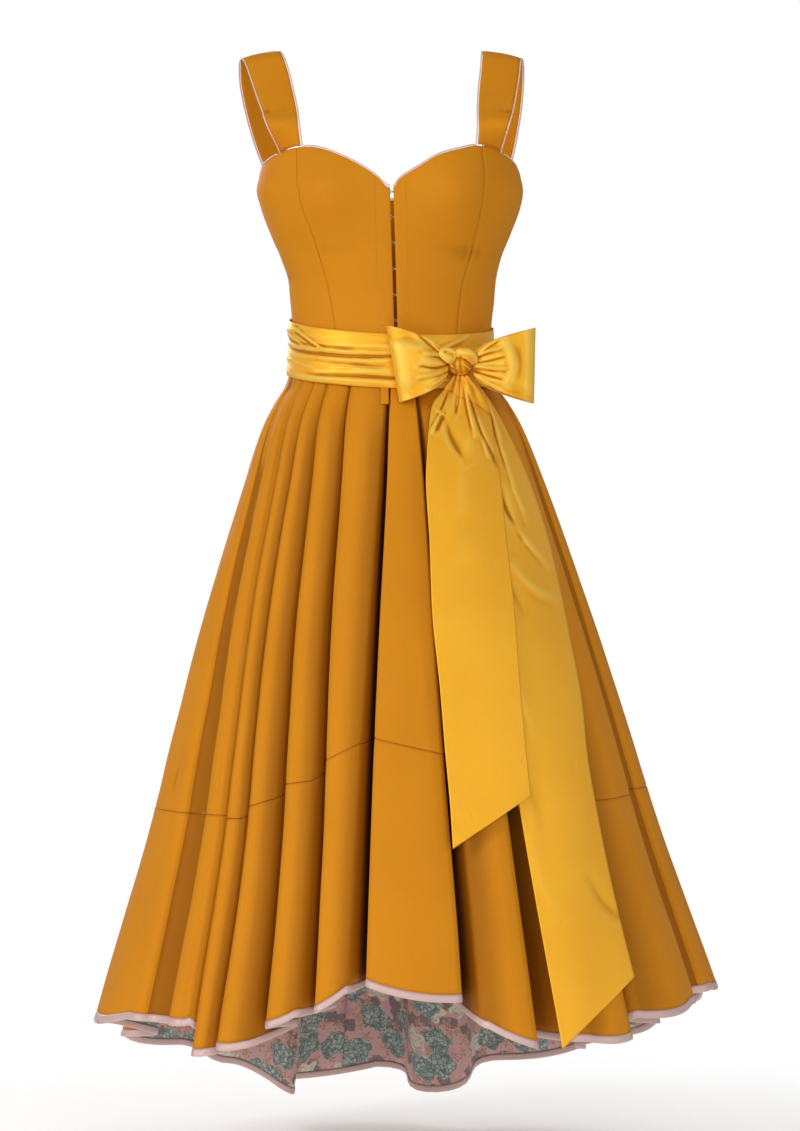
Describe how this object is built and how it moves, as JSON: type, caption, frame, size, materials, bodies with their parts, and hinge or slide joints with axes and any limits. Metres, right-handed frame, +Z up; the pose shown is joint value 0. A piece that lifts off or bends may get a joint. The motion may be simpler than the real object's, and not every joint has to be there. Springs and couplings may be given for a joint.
{
  "type": "dirndl dress",
  "caption": "Sleeveless dirndl dress with a hooked front opening, wide straps, a satin sash tied in a side bow with long tails, and a full high-low skirt with a lined lower tier.",
  "frame": {"origin": "on the shoulder line, midway between the two straps, level with their tops, where the wearer's shoulders hold the dress up", "axes": "+Z up, -Y out of the front of the dress, +X towards the side of the bow"},
  "size_m": [0.7895, 0.7498, 1.3781],
  "materials": {
    "cloth": "fine smooth orange weave with a soft low sheen",
    "satin": "golden satin",
    "piping": "pale pink satin cord",
    "binding": "dusty pink satin binding",
    "lining": "ribbed mauve jacquard with flowers",
    "wire": "dark lacquered wire"
  },
  "bodies": {
    "root": {"bodice_front_left": "cloth", "bodice_front_right": "cloth", "bodice_side_front_left": "cloth", "bodice_side_front_right": "cloth", "bodice_side_back_left": "cloth", "bodice_side_back_right": "cloth", "bodice_back": "cloth", "strap_left": "cloth", "strap_right": "cloth", "skirt_front_left": "cloth", "skirt_front_right": "cloth", "skirt_back_left": "cloth", "skirt_back_right": "cloth", "flounce_front_left": "cloth", "flounce_front_right": "cloth", "flounce_back_left": "cloth", "flounce_back_right": "cloth", "front_tab": "cloth", "sash_band": "satin", "bow_knot": "satin", "bow_loop_left": "satin", "bow_loop_right": "satin", "sash_tail_short": "satin", "sash_tail_long": "satin", "piping_neck_left": "piping", "piping_neck_right": "piping", "piping_armhole_left": "piping", "piping_armhole_right": "piping", "piping_back": "piping", "binding_front": "binding", "binding_back": "binding", "lining_front_left": "lining", "lining_front_right": "lining", "lining_back_left": "lining", "lining_back_right": "lining", "hook_1": "wire", "hook_2": "wire", "hook_3": "wire", "hook_4": "wire", "hook_5": "wire", "hook_6": "wire", "eye_1": "wire", "eye_2": "wire", "eye_3": "wire", "eye_4": "wire", "eye_5": "wire", "eye_6": "wire"}
  },
  "joints": []
}
